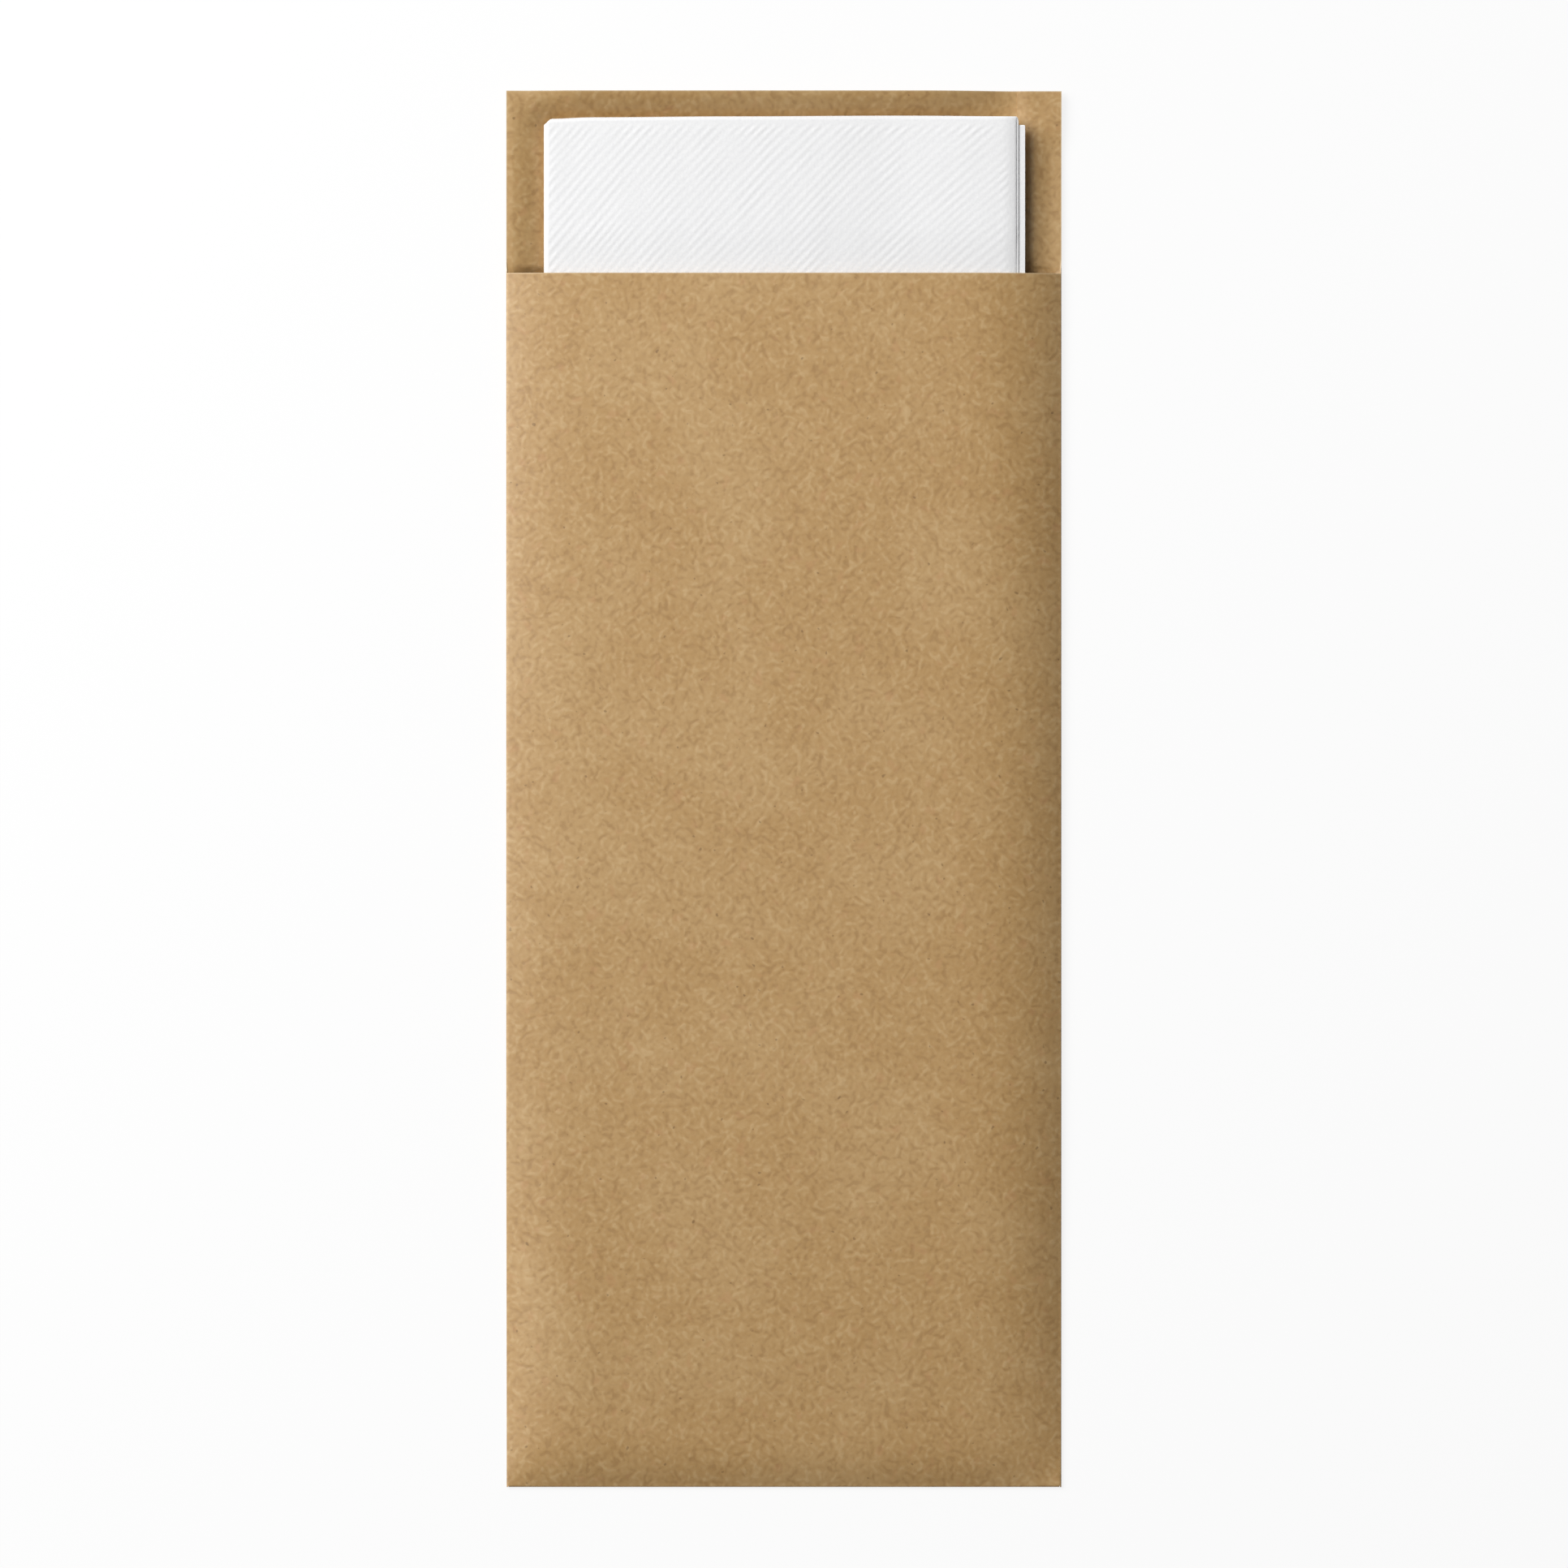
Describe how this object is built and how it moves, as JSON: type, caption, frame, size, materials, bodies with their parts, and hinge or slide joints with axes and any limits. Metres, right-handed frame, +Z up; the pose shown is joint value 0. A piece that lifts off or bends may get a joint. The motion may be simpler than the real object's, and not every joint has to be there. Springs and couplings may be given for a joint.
{
  "type": "cutlery pouch with napkin",
  "caption": "Flat brown kraft-paper cutlery pouch, open at one end, holding a folded white embossed tissue napkin that stands out of the mouth.",
  "frame": {"origin": "middle of the pouch's outline, on the surface the pouch lies on", "axes": "+Z up out of the front panel, +Y towards the open mouth, +X towards the glued side seam"},
  "size_m": [0.095, 0.239, 0.0047],
  "materials": {
    "kraft_paper": "matte",
    "white_tissue": "matte"
  },
  "bodies": {
    "root": {"pouch": "kraft_paper", "napkin": "white_tissue"}
  },
  "joints": []
}
